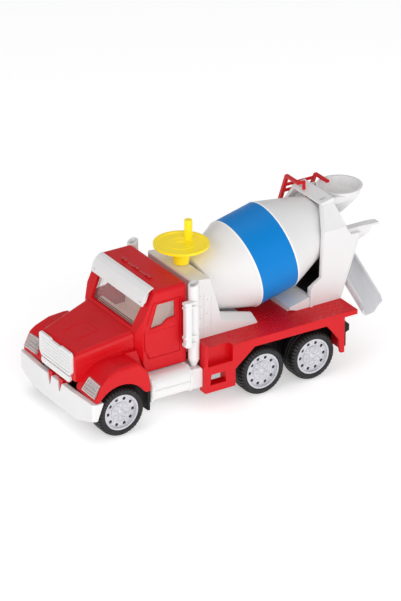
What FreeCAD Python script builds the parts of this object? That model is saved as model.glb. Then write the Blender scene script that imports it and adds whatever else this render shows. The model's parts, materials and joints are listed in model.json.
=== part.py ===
import FreeCAD, Part
import math
import os
import Sketcher

# Toy cement mixer truck.  Row frame: front of the truck at -X, left side at +Y, +Z up.
# The origin lies on the floor, under the middle of the truck's bounding box.

SIZES = {
    "half_length": 118.0, "body_half": 46.0, "floor_gap": 12.8,
    # wheels
    "front_axle_x": -94.8, "mid_axle_x": 13.1, "rear_axle_x": 52.6, "tyre_radius": 17.0,
    "tyre_width": 14.0, "rim_radius": 12.4, "hub_radius": 6.8, "axle_radius": 2.0, "fit_gap": 0.05,
    "hole_ring": 9.2, "hole_radius": 1.15,
    # chassis
    "frame_half": 14.0, "frame_bottom": 12.0, "frame_top": 34.0, "frame_front": -106.0,
    "frame_rear": 76.0, "wall": 2.0,
    # deck
    "deck_front": -31.5, "deck_rear": 87.1, "deck_top": 42.85, "deck_thick": 3.4, "skirt_bottom": 37.2,
    "skirt_thick": 2.4, "step_front": -31.7, "step_rear": -8.6, "step_top": 31.5, "step_depth": 7.0,
    "arch_front_x": 6.3, "arch_rear_x": 62.9, "flap_x": 72.3, "flap_rear": 77.0, "flap_bottom": 14.0,
    # cab
    "cab_half": 35.0, "cab_wall": 2.4, "cab_rear": -38.5, "cab_front": -76.0, "cab_bottom": 34.5,
    "roof_z": 90.6, "roof_front": -62.5, "cowl_z": 62.9, "cowl_half": 30.0, "hood_half": 22.5,
    "hood_front": -115.4, "hood_front_z": 54.2, "fender_top": 49.2, "arch_radius": 20.2,
    # doors
    "door_front": -71.0, "door_rear": -44.5, "door_bottom": 43.8, "door_top": 82.0, "door_gap": 0.35,
    "hinge_low": 51.0, "hinge_high": 63.0, "pin_radius": 0.5, "hinge_inset": 0.7,
    # drum, in its own frame: x runs along the axle from the meeting point of the two gear axes
    "crank_x": -21.3, "apex_z": 64.2, "drum_tilt": 13.85, "drum_radius": 31.2, "drum_wall": 1.8,
    "drum_nose": 12.6, "nose_radius": 20.0, "band_front": 43.4, "band_rear": 71.5, "drum_tail": 106.0,
    "tail_radius": 19.4, "collar_radius": 16.0, "collar_length": 4.0, "shaft_radius": 2.5,
    # gears
    "gear_cone": 10.0, "gear_face": 3.6, "pinion_teeth": 12, "gear_teeth": 18,
    # crank
    "crank_radius": 18.4, "crank_bottom": 98.3, "crank_thick": 1.8, "boss_low": 86.3,
    "boss_low_radius": 5.0, "boss_high_radius": 6.7, "peg_radius": 2.7, "peg_height": 13.6,
    "peg_x": 7.7, "peg_y": 3.7,
    # housing
    "housing_half": 27.3, "housing_front": -30.5, "housing_top": 85.9, "housing_wall": 1.8,
    # yoke
    "yoke_half": 26.2, "yoke_top_half": 17.5, "yoke_wall": 2.6, "crease_z": 94.5, "bridge_z": 109.6,
    # hopper, collector and chute
    "hopper_x": 102.3, "hopper_z": 112.0, "hopper_radius": 15.7, "skin": 1.6,
    "swivel_x": 97.5, "swivel_z": 49.6, "chute_radius": 9.0, "chute_length": 48.0,
    "chute_slope": 42.0, "chute_swing": 80.0,
}

doc = FreeCAD.newDocument("CementMixer")
sheet = doc.addObject("Spreadsheet::Sheet", "Sizes")
for row, (alias, value) in enumerate(SIZES.items(), start=1):
    sheet.set(f"A{row}", alias)
    sheet.set(f"B{row}", str(value))
    sheet.setAlias(f"B{row}", alias)
doc.recompute()


class Size(float):
    """A number that also carries the spreadsheet expression it comes from."""

    def __new__(cls, value, text):
        size = super().__new__(cls, value)
        size.text = text
        return size

    def __add__(self, other):
        return Size(float(self) + float(other), f"({self.text} + {text_of(other)})")

    def __radd__(self, other):
        return Size(float(other) + float(self), f"({text_of(other)} + {self.text})")

    def __sub__(self, other):
        return Size(float(self) - float(other), f"({self.text} - {text_of(other)})")

    def __rsub__(self, other):
        return Size(float(other) - float(self), f"({text_of(other)} - {self.text})")

    def __mul__(self, other):
        return Size(float(self) * float(other), f"({self.text} * {text_of(other)})")

    __rmul__ = __mul__

    def __truediv__(self, other):
        return Size(float(self) / float(other), f"({self.text} / {text_of(other)})")

    def __neg__(self):
        return Size(-float(self), f"(-{self.text})")


def text_of(value):
    return value.text if isinstance(value, Size) else f"{float(value):.6f}"


class Dims:
    """The spreadsheet's cells as attributes."""


dims = Dims()
for alias, value in SIZES.items():
    setattr(dims, alias, Size(value, f"Sizes.{alias}"))

NODES = []


class Piece:
    """One moulded piece: a PartDesign body, and the short calls that add and cut features."""

    def __init__(self, node):
        self.body = doc.addObject("PartDesign::Body", node)
        self.body.Label = node
        NODES.append(self.body)

    def sketch(self, plane, offset):
        sketch = self.body.newObject("Sketcher::SketchObject", "Outline")
        role = f"{plane}_Plane"
        origin_plane = next(f for f in self.body.Origin.OriginFeatures if f.Role == role)
        sketch.AttachmentSupport = [(origin_plane, "")]
        sketch.MapMode = "FlatFace"
        sketch.AttachmentOffset = FreeCAD.Placement(FreeCAD.Vector(0, 0, float(offset)),
                                                    FreeCAD.Rotation())
        if isinstance(offset, Size):
            sketch.setExpression("AttachmentOffset.Base.z", offset.text)
        return sketch

    def pin_point(self, sketch, geometry, point, across, up):
        """Hold one sketch point at (across, up), bound to the spreadsheet where a Size is given."""
        for kind, value, axis in (("DistanceX", across, -2), ("DistanceY", up, -1)):
            if not isinstance(value, Size) and abs(value) < 1e-9:
                sketch.addConstraint(Sketcher.Constraint("PointOnObject", geometry, point, axis))
                continue
            index = sketch.addConstraint(Sketcher.Constraint(kind, geometry, point, float(value)))
            if isinstance(value, Size):
                sketch.setExpression(f"Constraints[{index}]", value.text)

    def outline(self, plane, offset, corners):
        """A closed outline of straight lines through the corners."""
        sketch = self.sketch(plane, offset)
        points = [FreeCAD.Vector(float(a), float(b), 0) for a, b in corners]
        count = len(points)
        for i in range(count):
            sketch.addGeometry(Part.LineSegment(points[i], points[(i + 1) % count]))
        for i in range(count):
            sketch.addConstraint(Sketcher.Constraint("Coincident", i, 2, (i + 1) % count, 1))
            self.pin_point(sketch, i, 1, *corners[i])
        return sketch

    def prism(self, plane, corners, start, end, cut=False):
        """Push an outline along its plane's axis from start to end; XZ outlines run along Y."""
        low = -end if plane == "XZ" else start
        sketch = self.outline(plane, low, corners)
        return self.push(sketch, end - start, cut)

    def push(self, sketch, length, cut):
        kind = "PartDesign::Pocket" if cut else "PartDesign::Pad"
        feature = self.body.newObject(kind, "Push")
        feature.Profile = sketch
        feature.Length = float(length)
        if isinstance(length, Size):
            feature.setExpression("Length", length.text)
        feature.Reversed = cut
        return feature

    def primitive(self, shape, cut, sizes, base, rotation=None):
        kind = "Subtractive" if cut else "Additive"
        feature = self.body.newObject(f"PartDesign::{kind}{shape}", shape)
        for name, value in sizes.items():
            setattr(feature, name, float(value))
            if isinstance(value, Size):
                feature.setExpression(name, value.text)
        turn = rotation or FreeCAD.Rotation()
        feature.Placement = FreeCAD.Placement(FreeCAD.Vector(*[float(v) for v in base]), turn)
        for axis, value in zip("xyz", base):
            if isinstance(value, Size):
                feature.setExpression(f"Placement.Base.{axis}", value.text)
        return feature

    def block(self, xs, ys, zs, cut=False):
        sizes = {"Length": xs[1] - xs[0], "Width": ys[1] - ys[0], "Height": zs[1] - zs[0]}
        return self.primitive("Box", cut, sizes, (xs[0], ys[0], zs[0]))

    def rod(self, axis, centre, radius, start, end, cut=False):
        """A round bar along x, y or z; centre holds the other two coordinates in order."""
        sizes = {"Radius": radius, "Height": end - start}
        base = {"x": (start, *centre), "y": (centre[0], start, centre[1]), "z": (*centre, start)}[axis]
        return self.primitive("Cylinder", cut, sizes, base, TURN[axis])

    def lathe(self, plane, corners, axis, cut=False):
        """Turn an outline a full circle about the sketch's own H or V axis."""
        sketch = self.outline(plane, 0, corners)
        feature = self.body.newObject("PartDesign::Groove" if cut else "PartDesign::Revolution", "Turned")
        feature.Profile = sketch
        feature.ReferenceAxis = (sketch, [f"{axis}_Axis"])
        feature.Angle = 360
        return feature

    def loft(self, sections, cut=False):
        """A ruled solid through outlines given as (plane, offset, corners)."""
        sketches = [self.outline(*section) for section in sections]
        feature = self.body.newObject("PartDesign::SubtractiveLoft" if cut else "PartDesign::AdditiveLoft", "Loft")
        feature.Profile = sketches[0]
        feature.Sections = sketches[1:]
        feature.Ruled = True
        return feature

    def round_edges(self, radius, where):
        return self.dress("PartDesign::Fillet", "Radius", radius, where)

    def bevel_edges(self, size, where):
        return self.dress("PartDesign::Chamfer", "Size", size, where)

    def dress(self, kind, name, size, where):
        doc.recompute()
        tip = self.body.Tip
        chosen = [f"Edge{i}" for i, edge in enumerate(tip.Shape.Edges, start=1) if where(edge)]
        feature = self.body.newObject(kind, "Edges")
        feature.Base = (tip, chosen)
        setattr(feature, name, float(size))
        if isinstance(size, Size):
            feature.setExpression(name, size.text)
        return feature

    def on_drum_axis(self):
        """Place a piece drawn along its own x axis on the drum's tilted axis."""
        self.body.Placement = FreeCAD.Placement(
            FreeCAD.Vector(dims.crank_x, 0, dims.apex_z), FreeCAD.Rotation(FreeCAD.Vector(0, 1, 0),
                                                                           -dims.drum_tilt)
        )


TURN = {
    "x": FreeCAD.Rotation(FreeCAD.Vector(0, 1, 0), 90),
    "y": FreeCAD.Rotation(FreeCAD.Vector(1, 0, 0), -90),
    "z": FreeCAD.Rotation(),
}
SIDES = {"left": 1, "right": -1}


def span(side, inner, outer):
    """A range of y on one side of the truck, lowest value first."""
    return (inner, outer) if side > 0 else (-outer, -inner)


def middle(edge):
    return edge.BoundBox.Center


def rectangle(xs, ys):
    return [(xs[0], ys[0]), (xs[1], ys[0]), (xs[1], ys[1]), (xs[0], ys[1])]


def runs_along(edge, axis):
    box = edge.BoundBox
    lengths = {"x": box.XLength, "y": box.YLength, "z": box.ZLength}
    return lengths[axis] > 0.5 and all(lengths[other] < 1e-4 for other in "xyz" if other != axis)


# ---------------------------------------------------------------- wheels
def wheel_set(name, x):
    """One axle with a rim and a tyre at each end; the axle runs in the chassis bearings."""
    z = dims.tyre_radius
    outer = dims.body_half
    inner = outer - dims.tyre_width
    axle = Piece(f"axle_{name}")
    axle.rod("y", (x, z), dims.axle_radius, -(inner + 9.0), inner + 9.0)
    for label, side in SIDES.items():
        rim = Piece(f"rim_{name}_{label}")
        ys = span(side, inner, outer - 0.6)
        rim.rod("y", (x, z), dims.rim_radius, *ys)
        rim.rod("y", (x, z), dims.rim_radius - 1.2, *span(side, outer - 2.2, outer), cut=True)
        rim.rod("y", (x, z), dims.hub_radius, *span(side, outer - 2.4, outer - 1.6))
        rim.rod("y", (x, z), dims.axle_radius, *span(side, inner - 1.0, inner + 9.0), cut=True)
        for k in range(10):
            angle = 2 * math.pi * k / 10
            hole = (x + dims.hole_ring * math.cos(angle), z + dims.hole_ring * math.sin(angle))
            rim.rod("y", hole, dims.hole_radius, *span(side, outer - 6.0, outer), cut=True)
        tyre = Piece(f"tyre_{name}_{label}")
        tyre.rod("y", (x, z), dims.tyre_radius, *span(side, inner, outer))
        tyre.rod("y", (x, z), dims.rim_radius, *span(side, inner - 1.0, outer + 1.0), cut=True)
        tyre.round_edges(1.8, lambda e: e.Closed and abs(e.BoundBox.XLength - 2 * dims.tyre_radius) < 0.1)


wheel_set("front", dims.front_axle_x)
wheel_set("mid", dims.mid_axle_x)
wheel_set("rear", dims.rear_axle_x)


# ---------------------------------------------------------------- chassis
def chassis_frame():
    piece = Piece("chassis_frame")
    half = dims.frame_half
    low = dims.frame_bottom
    piece.block((dims.frame_front, dims.frame_rear), (-half, half), (low, dims.frame_top))
    piece.block((dims.frame_front + 4, dims.frame_rear - 4), (-half + 2.5, half - 2.5),
                (low - 1, dims.frame_top - 3), cut=True)
    bearing = dims.body_half - dims.tyre_width - 1.0
    for x in (dims.front_axle_x, dims.mid_axle_x, dims.rear_axle_x):
        for side in SIDES.values():
            piece.block((x - 5, x + 5), span(side, half - 1, bearing), (low, dims.tyre_radius + 6))
            piece.block((x - 5, x + 5), span(side, half - 4.5, half - 1.5), (low, dims.frame_top - 2))
    for x in (dims.front_axle_x, dims.mid_axle_x, dims.rear_axle_x):
        piece.rod("y", (x, dims.tyre_radius), dims.axle_radius + dims.fit_gap, -bearing - 1, bearing + 1,
                  cut=True)
    tops = ((dims.deck_front, dims.frame_rear, dims.deck_top - dims.deck_thick),
            (-70.0, dims.cab_rear, dims.cab_bottom))
    for start, end, top in tops:
        piece.block((start + 4, end - 4), (-half, half), (dims.frame_top - 1, top))
    for side in SIDES.values():
        piece.block((-74.4, -72.6), span(side, half - 1, dims.body_half - 2), (low, 27.0))
        piece.block((-34.5, -32.6), span(side, half - 1, 27.0), (low + 4, 42.0))
    piece.block((-104.0, -72.0), (-20.0, 20.0), (28.0, dims.cab_bottom))


def deck():
    """Load deck with side skirts, two step boxes with a hand hole, and flaps behind the wheels."""
    piece = Piece("deck")
    half = dims.body_half
    top = dims.deck_top
    under = top - dims.deck_thick
    piece.block((dims.deck_front, dims.deck_rear), (-half, half), (under, top))
    for side in SIDES.values():
        skirt = [(dims.deck_front, top - 0.5), (dims.deck_front, dims.floor_gap + 3),
                 (dims.deck_front + 1.5, dims.floor_gap),
                 (dims.step_rear, dims.floor_gap), (dims.step_rear, 25.0), (dims.arch_front_x,
                                                                            dims.skirt_bottom),
                 (dims.arch_rear_x, dims.skirt_bottom - 0.5), (dims.flap_x, 25.0), (dims.flap_x + 1.9,
                                                                                    dims.flap_bottom),
                 (dims.flap_rear, dims.flap_bottom), (dims.flap_rear, top - 0.5)]
        piece.prism("XZ", skirt, *span(side, half - dims.skirt_thick, half))
        piece.block((dims.step_front, dims.step_rear), span(side, half - dims.step_depth, half),
                    (dims.floor_gap, dims.deck_top - 1))
        piece.block((dims.flap_x + 1.5, dims.flap_rear), span(side, half - 11, half),
                    (dims.flap_bottom + 3, top - 1))
        piece.block((dims.step_front + 2, dims.step_rear - 2),
                    span(side, half - dims.step_depth + 2, half + 1), (dims.step_top, top + 1), cut=True)
        hole = [(-28.1, 18.0), (-26.9, 25.6), (-16.3, 25.6), (-15.8, 18.0)]
        piece.prism("XZ", hole, *span(side, half - dims.step_depth - 1, half + 1), cut=True)
        piece.block((dims.step_front, dims.step_front + 1.6), span(side, half - dims.step_depth, half),
                    (top - 1, top + 4.6))
    piece.block((dims.step_front - 1, dims.deck_front + 8), (-25.0, 25.0), (under - 1, top + 1), cut=True)


def rear_bumper():
    piece = Piece("rear_bumper")
    x = dims.flap_rear + 0.1
    bar = [(x, 27.8), (x + 1.6, 27.8), (x + 4.2, 28.8), (x + 4.2, 33.1), (x + 0.6, 36.8), (x, 36.8)]
    half = dims.body_half
    piece.prism("XZ", bar, -half + 1, half - 1)
    for side in SIDES.values():
        piece.block((x, x + 1.5), span(side, half - 16, half - 1), (17.8, 29.0))
    piece.block((dims.frame_rear, x + 1), (-12.0, 12.0), (28.0, 34.0))


def front_bumper():
    """Wide bumper, straight along its top, deeper in the middle, with ends that wrap back."""
    piece = Piece("front_bumper")
    front = -dims.half_length
    half = dims.body_half + 0.8
    plan = [(front, -20.0), (front + 1.3, -half + 1.5), (front + 3.0, -half), (front + 9.0, -half),
            (front + 9.0, -half + 2.5),
            (front + 5.0, -half + 2.7), (front + 3.4, -22.0), (front + 3.4, 22.0), (front + 5.0,
                                                                                    half - 2.7),
            (front + 9.0, half - 2.5), (front + 9.0, half), (front + 3.0, half), (front + 1.3,
                                                                                  half - 1.5), (front,
                                                                                                20.0)]
    piece.prism("XY", plan, 10.4, 28.3)
    for side in SIDES.values():
        low_corner = [(side * 24.0, 9.0), (side * (half + 1), 9.0), (side * (half + 1), 16.4),
                      (side * (half - 1), 16.2)]
        piece.prism("YZ", low_corner, front - 1, front + 12, cut=True)
        notch = [(side * 3.8, 29.0), (side * 9.8, 29.0), (side * 6.6, 21.5), (side * 5.4, 21.5)]
        piece.prism("YZ", notch, front - 1, front + 6, cut=True)
    slant = [(front + 9.2, 28.4), (front + 4.4, 16.0), (front + 4.4, 9.0), (front + 16.0, 9.0),
             (front + 16.0, 28.4)]
    for side in SIDES.values():
        piece.prism("XZ", slant, *span(side, 40.0, dims.body_half + 4), cut=True)
    piece.block((front + 3.0, dims.frame_front), (-12.0, 12.0), (15.0, 20.0))


def tow_hooks():
    piece = Piece("tow_hooks")
    front = -dims.half_length + 0.9
    piece.block((front + 2.5, front + 5.5), (-11.0, 11.0), (28.4, 31.0))
    for side in SIDES.values():
        hook = [(side * 4.1, 30.5), (side * 9.4, 30.5), (side * 6.5, 22.2), (side * 5.5, 22.2)]
        piece.prism("YZ", hook, front, front + 2.9)


# ---------------------------------------------------------------- cab and bonnet
def cab_profile(inset):
    """Side outline of the cab, drawn in by inset on every face."""
    return [(dims.cab_rear - inset, dims.cab_bottom + inset),
            (dims.cab_rear - inset, dims.roof_z - inset),
            (dims.roof_front + inset * 0.6, dims.roof_z - inset), (dims.roof_front - 3.0 + inset, 84.5),
            (dims.cab_front + inset, dims.cowl_z - 0.5), (dims.cab_front + inset, 52.0), (-69.6 + inset,
                                                                                          dims.cab_bottom + inset)]


def door_outline(grow):
    return [(dims.door_front - grow, dims.hinge_low), (dims.door_front - grow, dims.hinge_high),
            (-64.2 - grow, dims.door_top + grow), (dims.door_rear + grow, dims.door_top + grow),
            (dims.door_rear + grow, dims.door_bottom - grow), (-67.8 - grow * 0.5,
                                                               dims.door_bottom - grow)]


HINGE_X = dims.door_front + 1.2


def cab_shell():
    """Hollow cab with front corners that narrow to the cowl, door openings and a windshield opening."""
    piece = Piece("cab_shell")
    half = dims.cab_half
    wall = dims.cab_wall

    def corner(side):
        return [(dims.cab_front - 1, side * dims.cowl_half), (dims.door_front - 0.8, side * half),
                (dims.door_front - 0.8, side * (half + 1)), (dims.cab_front - 1, side * (half + 1))]

    piece.prism("XZ", cab_profile(0), -half, half)
    for side in SIDES.values():
        piece.prism("XY", corner(side), dims.cab_bottom - 1, dims.roof_z + 1, cut=True)
    piece.round_edges(3.2, lambda e: runs_along(e, "x") and middle(e).z > 90)
    piece.round_edges(2.4, lambda e: middle(e).z > 84 and middle(e).x > -39.5)
    piece.prism("XZ", cab_profile(wall), -half + wall, half - wall, cut=True)
    for side in SIDES.values():
        inner = [(dims.cab_front + wall, side * (dims.cowl_half - 1.5)),
                 (dims.door_front + 0.5, side * (half - wall)),
                 (dims.door_front + 0.5, side * (half - 0.2)), (dims.cab_front + wall,
                                                                side * (half - 0.2))]
        piece.prism("XY", inner, dims.cab_bottom + wall, 86.0)
    for side in SIDES.values():
        piece.prism("XY", corner(side), dims.cab_bottom - 1, dims.roof_z + 1, cut=True)
        piece.prism("XZ", door_outline(dims.door_gap), *span(side, half - wall - 2.0, half + 1), cut=True)
        pin = (HINGE_X, side * (half - dims.hinge_inset))
        for low, high in ((dims.hinge_low - 6.5, dims.hinge_low - 1),
                          (dims.hinge_high + 2.5, dims.hinge_high + 7.5)):
            piece.rod("z", pin, dims.pin_radius + dims.fit_gap, low, high, cut=True)
    ahead = [(dims.cab_front, dims.cowl_z - 0.5), (dims.roof_front - 3.0, 84.5), (dims.roof_front, 96.0),
             (dims.cab_front - 6.0, 96.0), (dims.cab_front - 6.0, dims.cowl_z - 0.5)]
    below = [(dims.cab_front, 52.0), (-69.6, dims.cab_bottom), (-69.6, dims.cab_bottom - 2.0),
             (dims.cab_front - 6.0, dims.cab_bottom - 2.0), (dims.cab_front - 6.0, 52.0)]
    piece.prism("XZ", ahead, -half - 1, half + 1, cut=True)
    piece.prism("XZ", below, -half - 1, half + 1, cut=True)
    wind = [(-25.4, 64.4), (25.4, 64.4), (27.4, 84.2), (-27.4, 84.2)]
    piece.prism("YZ", wind, dims.cab_front - 2, -60.0, cut=True)
    piece.block((dims.cab_front - 1, dims.cab_front + 6), (-26, 26), (36.9, 62), cut=True)


def door(label, side):
    half = dims.cab_half
    wall = dims.cab_wall
    piece = Piece(f"door_{label}")
    piece.prism("XZ", door_outline(0), *span(side, half - wall, half))
    window = [(-66.6, 64.6), (-57.4, 65.6), (-53.8, 68.6), (-48.0, 69.4), (-48.0, 80.7), (-61.2, 80.7)]
    piece.prism("XZ", window, *span(side, half - wall - 1, half + 1), cut=True)
    frame = [(-68.0, 63.3), (-56.9, 64.2), (-53.3, 67.1), (-46.6, 67.9), (-46.6, 81.4), (-62.2, 81.4)]
    piece.prism("XZ", frame, *span(side, half - wall - 1, half - wall + 1.1), cut=True)
    piece.bevel_edges(dims.hinge_inset, lambda e: middle(e).x < -67 and abs(middle(e).y) > half - 0.1)
    for low, high in ((dims.hinge_low - 5.5, dims.hinge_low), (dims.hinge_high, dims.hinge_high + 6.5)):
        piece.rod("z", (HINGE_X, side * (half - dims.hinge_inset)), dims.pin_radius, low, high)
    glass = Piece(f"door_glass_{label}")
    pane = [(-67.7, 63.5), (-56.9, 64.4), (-53.3, 67.3), (-46.8, 68.1), (-46.8, 81.2), (-62.0, 81.2)]
    glass.prism("XZ", pane, *span(side, half - wall, half - wall + 1.1))


def windshield():
    """Flat pane behind the opening, leaning back with the pillars."""
    piece = Piece("windshield")
    foot = (dims.cab_front + 3.5, 63.3)
    head = (dims.roof_front + 0.1, 85.2)
    pane = [foot, head, (head[0] + 1.3, head[1] - 0.6), (foot[0] + 1.3, foot[1] - 0.6)]
    piece.prism("XZ", pane, -26.6, 26.6)


def hood():
    """Bonnet that widens and rises to the cowl, with a fender over each front wheel."""
    piece = Piece("hood")
    front, rear = dims.hood_front, dims.cab_front
    low = dims.cab_bottom + 0.2
    nose, cowl = dims.hood_half, dims.cowl_half

    side_view = [(front, low), (front, dims.hood_front_z - 2.4), (front + 2.6, dims.hood_front_z),
                 (rear, dims.cowl_z), (rear, low)]
    piece.prism("XZ", side_view, -cowl, cowl)
    for side in SIDES.values():
        taper = [(front - 1, side * nose), (rear + 0.1, side * cowl), (rear + 0.1, side * (cowl + 2)),
                 (front - 1, side * (cowl + 2))]
        piece.prism("XY", taper, low - 1, dims.cowl_z + 1, cut=True)
    piece.round_edges(4.2, lambda e: e.Length > 35 and middle(e).z > 56 and abs(middle(e).y) > 15)
    half = dims.body_half
    for side in SIDES.values():
        fender = [(-113.9, 28.6), (-114.2, 31.0), (-109.4, 40.6), (-103.5, 45.6), (-95.9, 48.4),
                  (-85.0, dims.fender_top),
                  (-81.7, 49.0), (-77.6, 44.6), (-74.8, 40.6), (-73.0, 27.4), (-76.2, 27.0), (-79.0,
                                                                                              28.6)]
        piece.prism("XZ", fender, *span(side, nose - 1, half))
        piece.rod("y", (dims.front_axle_x, dims.tyre_radius), dims.arch_radius,
                  *span(side, 24.0, half + 1), cut=True)
        lamp = [(side * 28.6, 31.4), (side * 44.6, 31.0), (side * 44.6, 40.2), (side * 30.4, 41.0)]
        piece.prism("YZ", lamp, -117.0, -109.5, cut=True)
    piece.round_edges(2.6,
                      lambda e: abs(abs(middle(e).y) - half) < 0.05 and middle(e).z > 44 and middle(e).x > -112)
    cowl_side = [(-84.0, 46.0), (-84.0, 51.0), (rear - 0.4, 51.0), (rear - 0.4, 52.0), (-70.1, 35.2),
                 (-72.8, 34.2), (-76.6, 38.0),
                 (-80.0, 43.0)]
    for side in SIDES.values():
        piece.prism("XZ", cowl_side, *span(side, nose - 1, cowl + 3.0))
    piece.block((front + 2.5, rear + 1), (-19.0, 19.0), (dims.cab_bottom - 1, 49.5), cut=True)


def grille():
    piece = Piece("grille")
    x = dims.hood_front
    plate = [(-17.7, 37.5), (17.7, 37.5), (20.4, 40.5), (20.4, 52.4), (19.0, 54.0), (6.6, 54.0),
             (5.4, 53.0), (-5.4, 53.0),
             (-6.6, 54.0), (-19.0, 54.0), (-20.4, 52.4), (-20.4, 40.5)]
    piece.prism("YZ", plate, x - 1.7, x)
    inner = [(-16.4, 39.0), (16.4, 39.0), (18.6, 41.5), (18.6, 51.6), (6.0, 51.6), (-6.0, 51.6),
             (-18.6, 51.6), (-18.6, 41.5)]
    piece.prism("YZ", inner, x - 2.2, x - 1.2, cut=True)
    bar = Piece("grille_bar")
    strip = [(-16.6, 32.4), (16.6, 32.4), (18.2, 34.0), (17.6, 36.6), (-17.6, 36.6), (-18.2, 34.0)]
    bar.prism("YZ", strip, x - 1.7, x)


def headlight(label, side):
    piece = Piece(f"headlight_{label}")
    face = [(side * 28.9, 31.7), (side * 44.3, 31.3), (side * 44.3, 39.9), (side * 30.6, 40.7)]
    piece.prism("YZ", face, -114.6, -109.5)
    slope = [(-115.0, 32.0), (-109.4, 41.2), (-115.0, 41.2)]
    piece.prism("XZ", slope, *span(side, 28.0, 45.0), cut=True)


def sun_visor():
    """Curved shade from the roof's front edge down over the windshield."""
    piece = Piece("sun_visor")
    outer = [(-62.0, 90.7), (-62.0, 91.6), (-64.4, 91.1), (-67.3, 88.9), (-69.4, 85.6), (-70.9, 80.4),
             (-69.8, 80.2),
             (-68.4, 85.1), (-66.4, 88.2), (-63.6, 90.4)]
    piece.prism("XZ", outer, -31.6, 31.6)
    for side in SIDES.values():
        piece.rod("x", (side * 28.6, 82.6), 0.7, -73.0, -67.0, cut=True)
        arm = [(-69.7, 81.4), (-67.6, 82.6), (-66.0, 86.9), (-65.6, 88.2), (-68.2, 85.2)]
        piece.prism("XZ", arm, *span(side, 29.4, 31.6))


def marker_lights():
    """Three pairs of small lamps on a strip along the front of the roof."""
    piece = Piece("marker_lights")
    x = -55.5
    top = dims.roof_z
    piece.block((x - 0.8, x + 0.8), (-17.0, 17.0), (top + 0.05, top + 0.35))
    for y in (-14.5, 0.0, 14.5):
        for step in (-1.6, 1.6):
            piece.rod("z", (x, y + step), 1.3, top + 0.05, top + 1.3)


def cab_interior():
    """Moulded tub: floor, back wall, bench seat and dash."""
    piece = Piece("cab_interior")
    half = dims.cab_half - dims.cab_wall - 2.4
    floor = dims.cab_bottom + dims.cab_wall + 0.1
    back = dims.cab_rear - dims.cab_wall - 0.2
    piece.block((-66.4, back), (-half + 6, half - 6), (floor, floor + 2))
    piece.block((back - 2, back), (-half + 3, half - 3), (floor, 84.0))
    for side in SIDES.values():
        seat = [(-59.0, floor + 1), (-59.0, 54.0), (-48.6, 54.0), (-46.6, 76.0), (-43.6, 76.0),
                (back - 1, floor + 1)]
        piece.prism("XZ", seat, *span(side, 4.0, half - 4))
    dash = [(-70.6, 54.0), (-70.6, 64.0), (-66.5, 64.0), (-65.4, 60.0), (-64.0, floor + 1),
            (-66.0, floor + 1)]
    piece.prism("XZ", dash, -half + 6, half - 6)


# ---------------------------------------------------------------- side equipment
def side_tank(label, side):
    """Round-edged fuel tank with end bands, and the battery box behind it."""
    piece = Piece(f"side_tank_{label}")
    outer = 45.2
    piece.block((-71.8, -41.0), span(side, 17.0, outer), (16.0, 33.6))
    piece.round_edges(7.0, lambda e: runs_along(e, "x") and abs(middle(e).y) > 40)
    for x in (-71.4, -42.6):
        band = [(side * 20.0, 15.4), (side * 39.4, 15.4), (side * 43.6, 17.2), (side * 45.9, 21.4),
                (side * 45.9, 28.2),
                (side * 43.6, 32.4), (side * 39.4, 34.2), (side * 20.0, 34.2)]
        piece.prism("YZ", band, x, x + 1.6)
    piece.block((-70.0, -42.0), span(side, outer - 1, outer + 0.5), (24.2, 25.2))
    box = [(-41.2, 17.0), (-31.9, 17.0), (-31.9, 29.6), (-33.0, 31.2), (-41.2, 31.2)]
    piece.prism("XZ", box, *span(side, 27.1, 42.6))


def exhaust(label, side):
    """Upright stack behind the cab, with a bracketed heat shield on its outer face."""
    piece = Piece(f"exhaust_{label}")
    x, y = -35.4, side * 37.6
    radius = 3.7
    piece.primitive("Cone", False, {"Radius1": 1.9, "Radius2": radius, "Height": 5.0}, (x, y, 31.4))
    piece.rod("z", (x, y), radius, 36.4, 91.2)
    piece.rod("z", (x, y), 2.5, 84.0, 93.0, cut=True)
    tip = [(x - 5, 88.2), (x + 5, 92.4), (x + 5, 94.0), (x - 5, 94.0)]
    piece.prism("XZ", tip, *span(side, 32.0, 43.0), cut=True)
    piece.block((x - 8.4, x - 3.4), span(side, 38.4, 42.6), (47.6, 79.6))
    piece.round_edges(1.6, lambda e: runs_along(e, "z") and abs(abs(middle(e).y) - 42.6) < 0.05)
    for z in (48.4, 53.6, 74.6, 77.6):
        piece.block((x - 9.0, x), span(side, 38.0, 41.8), (z, z + 1.6))
    piece.block((x - 0.6, x + 1.6), span(side, 27.1, 36.0), (38.0, 41.5))


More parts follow.
